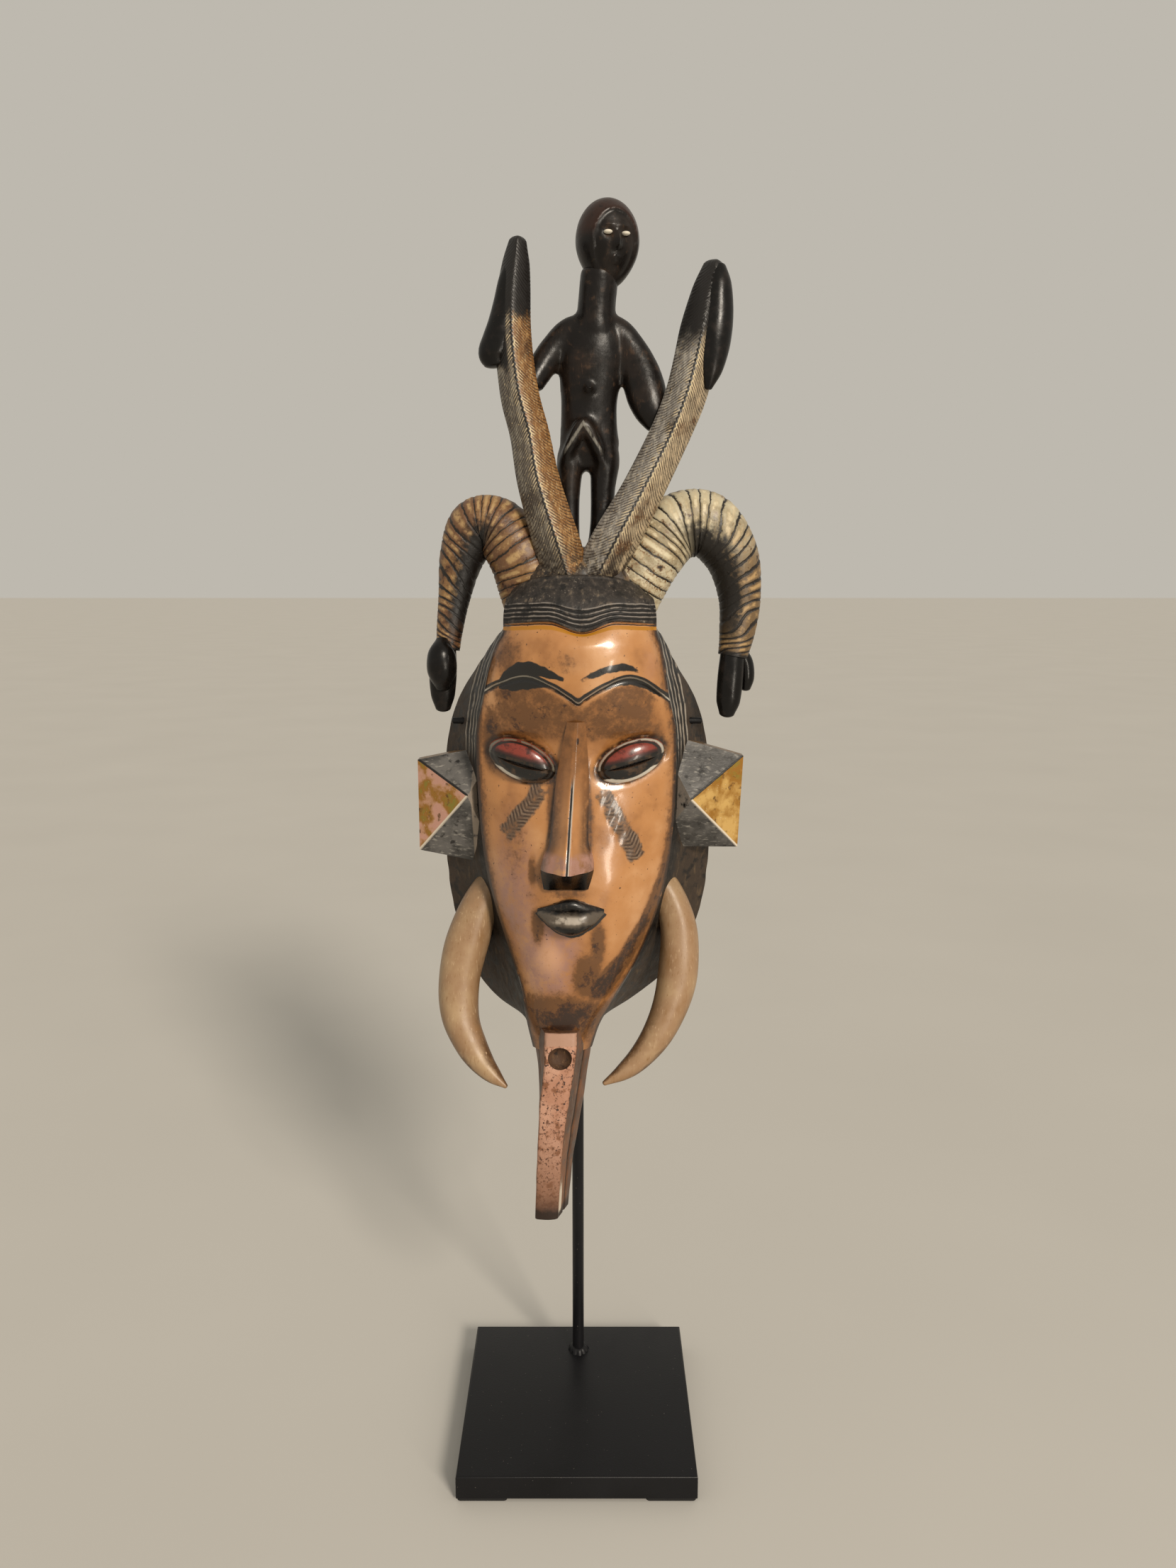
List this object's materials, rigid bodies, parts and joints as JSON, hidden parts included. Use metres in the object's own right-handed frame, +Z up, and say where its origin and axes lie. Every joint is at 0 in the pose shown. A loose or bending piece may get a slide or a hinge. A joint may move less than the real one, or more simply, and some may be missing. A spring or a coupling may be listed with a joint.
{
  "type": "dance mask",
  "caption": "Carved and painted wooden dance mask with horns, tusks, a trunk below the chin and a small standing figure on top, held upright on a black steel display stand.",
  "frame": {"origin": "on the floor, under the middle of the whole object's width and depth", "axes": "+Z up; the mask's face looks along -Y; +X is to the right of someone who faces the mask"},
  "size_m": [0.215, 0.15, 0.7861],
  "materials": {
    "painted_wood": "carved wood under worn glossy paint: orange-brown face, black, grey and ochre details",
    "black_steel": "satin black painted steel",
    "pad_rubber": "matt black"
  },
  "bodies": {
    "root": {"mask": "painted_wood", "base_plate": "black_steel", "foot_pad_front_left": "pad_rubber", "foot_pad_front_right": "pad_rubber", "foot_pad_back_left": "pad_rubber", "foot_pad_back_right": "pad_rubber", "post": "black_steel", "cross_bar": "black_steel"}
  },
  "joints": []
}
